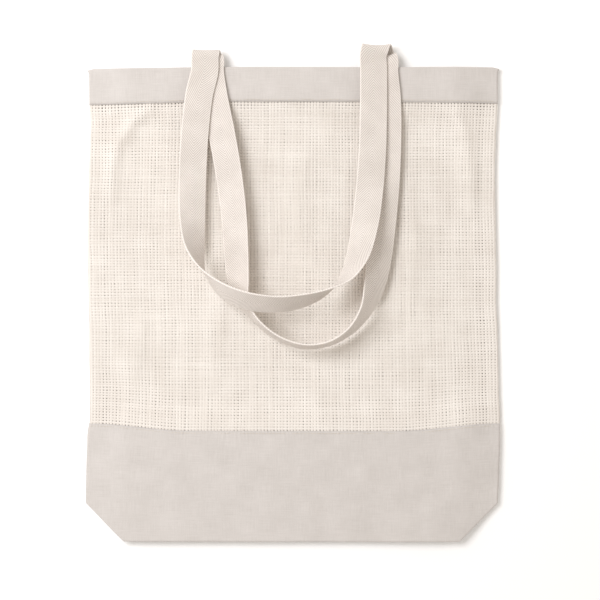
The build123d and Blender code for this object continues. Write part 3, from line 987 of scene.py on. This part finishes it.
def tape_stations(route, tab_name, setback, stands_out):
    """Places and width directions from one sewn end, over the fold, round the loop and back in."""
    legs = []
    for x, down, room, roll in route:
        angle = math.radians(roll)
        half_drop = (TAPE_WIDTH * abs(math.sin(angle)) + TAPE_THICKNESS * abs(math.cos(angle))) / 2
        height = FRONT_TOP_Z + room * TAPE_WIDTH + half_drop
        legs.append(Vector((x * MM, MOUTH_Y - down * MM, height)))
    loop = []
    for number, point in enumerate(legs):
        before, after = legs[max(number - 1, 0)], legs[min(number + 1, len(legs) - 1)]
        heading = (after - before).normalized()
        to_left = Vector((-heading.y, heading.x, 0)).normalized()
        angle = math.radians(route[number][3])
        across = to_left * math.cos(angle) + heading.cross(to_left) * math.sin(angle)
        loop.append((point, across))

    def sewn_end(side, first_leg, sign, roll, out=0.0):
        """The flat end inside the band, and the fold that takes the tape over to its first leg."""
        low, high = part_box(f"{tab_name}_{side}")
        x, z = (low.x + high.x) / 2, (low.z + high.z) / 2
        run = []
        for step in range(SEWN_STEPS + 1):
            place = Vector((x, low.y + (high.y - low.y) * step / SEWN_STEPS, z))
            run.append((place, Vector((sign, 0, 0))))
        fold_y = HINGE.y - setback + out
        radius = (first_leg.z - z) / 2 - FOLD_EASE
        for step in range(FOLD_STEPS + 1):
            share = step / FOLD_STEPS
            angle = math.radians(180 * share - 90)
            lean = math.radians(roll) * share
            place = Vector((
                x + (first_leg.x - x) * share,
                fold_y + radius * math.cos(angle),
                z + radius + radius * math.sin(angle),
            ))
            run.append((place, Vector((sign * math.cos(lean), 0, math.sin(lean)))))
        return run

    start = sewn_end("left", legs[0], 1, route[0][3])
    finish = sewn_end("right", legs[-1], -1, route[-1][3], stands_out)
    return start + loop + finish[::-1]


def smooth_path(stations):
    """More stations between the given ones, on a smooth curve through them."""
    last = len(stations) - 1
    gaps = [(stations[k + 1][0] - stations[k][0]).length for k in range(last)]

    def slope(number, part):
        """How fast the place (0) or the width direction (1) changes at a station."""
        if number in (0, last):
            near = min(number, last - 1)
            return (stations[near + 1][part] - stations[near][part]) / gaps[near]
        before, after = gaps[number - 1], gaps[number]
        rise = (stations[number][part] - stations[number - 1][part]) / before * after
        rise += (stations[number + 1][part] - stations[number][part]) / after * before
        return rise / (before + after)

    dense = []
    for number in range(last):
        gap = gaps[number]
        steps = max(1, round(gap / STATION_STEP))
        for step in range(steps):
            t = step / steps
            leaving, arriving = gap * (t - 2 * t ** 2 + t ** 3), gap * (t ** 3 - t ** 2)
            ahead = 3 * t ** 2 - 2 * t ** 3
            place, across = (
                (1 - ahead) * stations[number][part] + leaving * slope(number, part)
                + ahead * stations[number + 1][part] + arriving * slope(number + 1, part)
                for part in (0, 1)
            )
            dense.append((place, across.normalized()))
    dense.append(stations[-1])
    return dense


def tape_outline():
    """The tape's section: (across, up) round its edge, with rounded selvedges."""
    half = TAPE_WIDTH / 2
    thin = TAPE_THICKNESS / 2
    upper = [(-half + ROUND_END, thin), (-half + ROUND_START, thin)]
    upper += [(-half + TAPE_WIDTH * k / CROSS_POINTS, thin) for k in range(1, CROSS_POINTS)]
    upper += [(half - ROUND_START, thin), (half - ROUND_END, thin)]
    return upper + [(half, 0.0)] + [(a, -b) for a, b in reversed(upper)] + [(-half, 0.0)]


def tape_piece(name, stations, seed):
    """Extrudes the tape's section from station to station, and says how long the tape is."""
    outline = tape_outline()
    path = smooth_path(stations)
    bm = bmesh.new()
    uv = bm.loops.layers.uv.new("cloth")
    flat_x = bm.verts.layers.float.new("flat_x")
    flat_y = bm.verts.layers.float.new("flat_y")
    order = bm.verts.layers.int.new("order")
    bmesh.ops.create_circle(bm, cap_ends=True, segments=len(outline), radius=1.0)
    ring = list(bm.verts)
    for place, vert in enumerate(ring):
        vert[order] = place
    rim = list(bm.edges)
    length = 0.0
    for number, (point, across) in enumerate(path):
        before, after = path[max(number - 1, 0)][0], path[min(number + 1, len(path) - 1)][0]
        heading = (after - before).normalized()
        across = (across - heading * across.dot(heading)).normalized()
        up = heading.cross(across)
        if number:
            grown = bmesh.ops.extrude_edge_only(bm, edges=rim)["geom"]
            ring = [g for g in grown if isinstance(g, bmesh.types.BMVert)]
            rim = [
                g for g in grown
                if isinstance(g, bmesh.types.BMEdge) and all(v in ring for v in g.verts)
            ]
            ring.sort(key=lambda v: v[order])
            length += (point - path[number - 1][0]).length
        cup = CUP * noise.noise(Vector((length / CUP_LENGTH, seed, 0.5)))
        for vert, (side, rise) in zip(ring, outline):
            bow = cup * (1 - (2 * side / TAPE_WIDTH) ** 2)
            vert.co = point + across * side + up * (rise + bow)
            vert[flat_x] = side
            vert[flat_y] = length
    bm.faces.new(ring)
    for face in bm.faces:
        for loop in face.loops:
            loop[uv].uv = (loop.vert[flat_x], loop.vert[flat_y])
    bmesh.ops.recalc_face_normals(bm, faces=bm.faces[:])
    return object_from(bm, name, tape_cotton), length


# For each handle: how far its folds stand back from the hinge, how far the right one stands out
# again, the heights between which its motion is handed on from the bag, and its own seed.
for label, route, setback, stands_out, blend_low, blend_high, seed in (
    ("rear", REAR_HANDLE_ROUTE, 1.6 * MM, 4.2 * MM, 4.2 * MM, 12.2 * MM, 2.0),
    ("front", FRONT_HANDLE_ROUTE, 3.0 * MM, 0.0, 8.1 * MM, 11.2 * MM, 6.0),
):
    stations = tape_stations(route, f"handle_tab_{label}", setback, stands_out)
    handle, length = tape_piece(f"handle_{label}", stations, seed)
    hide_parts(f"handle_{label}_loop", f"handle_tab_{label}_left", f"handle_tab_{label}_right")
    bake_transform(handle)
    for side in ("left", "right"):
        node = f"handle_stitching_{label}_{side}"
        low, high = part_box(node)
        corners = [
            Vector(place) for place in
            ((low.x, low.y, 0), (high.x, low.y, 0), (high.x, high.y, 0), (low.x, high.y, 0))
        ]
        lines = [(corners[k], corners[(k + 1) % 4]) for k in range(4)]
        lines += [(corners[0], corners[2]), (corners[1], corners[3])]
        row = bmesh.new()
        for begin, end in lines:
            run = end - begin
            count = int(run.length / STITCH_STEP)
            for number in range(count):
                centre = begin + run * (number + 0.5) / count
                centre.z = (low.z + high.z) / 2
                add_stitch(row, centre, run)
        sew(row, f"box_threads_{label}_{side}", node)
